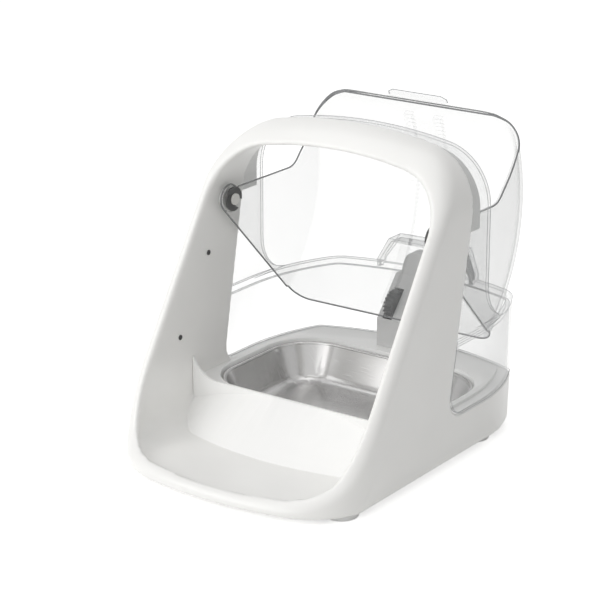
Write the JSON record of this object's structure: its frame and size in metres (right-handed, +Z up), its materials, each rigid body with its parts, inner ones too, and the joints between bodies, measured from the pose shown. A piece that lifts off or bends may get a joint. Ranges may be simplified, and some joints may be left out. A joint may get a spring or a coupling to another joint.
{
  "type": "microchip pet feeder",
  "caption": "Free-standing pet feeder with a hood that reads a chip, a clear visor lid swung by toothed rails, a clear rear shell and a steel bowl",
  "frame": {"origin": "on the floor, under the middle of the bounding box", "axes": "+X to the right seen from the front, +Y to the back, +Z up"},
  "size_m": [0.244, 0.3478, 0.2833],
  "materials": {
    "white_plastic": "satin",
    "pale_plastic": "matte",
    "grey_plastic": "matte",
    "dark_plastic": "matte",
    "clear_plastic": "clear",
    "pale_rubber": "matte",
    "steel": "brushed",
    "bowl_steel": "satin",
    "brass": "machined",
    "copper": "wound",
    "board": "matte",
    "cell": "satin"
  },
  "bodies": {
    "body": {"body_housing": "white_plastic", "hood_liner": "white_plastic", "bowl_deck": "white_plastic", "base_pan": "pale_plastic", "rubber_feet": "pale_rubber", "case_screws": "steel", "clear_shell": "clear_plastic", "trim_arch": "grey_plastic", "pivot_pins": "pale_plastic", "pivot_bushes": "grey_plastic", "pivot_clips": "dark_plastic", "drive_housing": "grey_plastic", "drive_back_cover": "grey_plastic", "idler_shaft": "steel", "drive_motor": "steel", "steel_bowl": "bowl_steel", "sensor_windows": "dark_plastic", "infrared_leds": "dark_plastic", "antenna_coil": "copper", "control_board": "board", "battery_box": "pale_plastic", "battery_cells": "cell", "battery_contacts": "steel", "battery_door": "pale_plastic"},
    "lid": {"visor": "clear_plastic"},
    "pinion_shaft": {"drive_pinions": "pale_plastic"},
    "idler": {"idler_gear": "pale_plastic"},
    "motor_shaft": {"motor_pinion": "brass"},
    "button": {"learn_button": "grey_plastic"}
  },
  "joints": [
    {"name": "lid_swing", "type": "hinge", "parent": "body", "child": "lid", "pos_m": [0, 0.00258, 0.2], "axis": [1, 0, 0], "range_deg": [-58.6, 0]},
    {"name": "pinion_spin", "type": "hinge", "parent": "body", "child": "pinion_shaft", "pos_m": [0, 0.12884, 0.08431], "axis": [1, 0, 0], "range_deg": [0, 672]},
    {"name": "idler_spin", "type": "hinge", "parent": "body", "child": "idler", "pos_m": [0, 0.13773, 0.06228], "axis": [1, 0, 0], "range_deg": [-924, 0]},
    {"name": "motor_spin", "type": "hinge", "parent": "body", "child": "motor_shaft", "pos_m": [0, 0.14749, 0.07621], "axis": [1, 0, 0], "range_deg": [0, 1694]},
    {"name": "learn_press", "type": "slide", "parent": "body", "child": "button", "axis": [0, -1, 0], "range_m": [0, 0.0012], "stiffness_N_per_m": 300, "springref_m": -0.001}
  ],
  "couplings": [
    {"joint": "pinion_spin", "follows": "lid_swing", "ratio": -11.455},
    {"joint": "idler_spin", "follows": "lid_swing", "ratio": 15.75},
    {"joint": "motor_spin", "follows": "lid_swing", "ratio": -28.875}
  ]
}
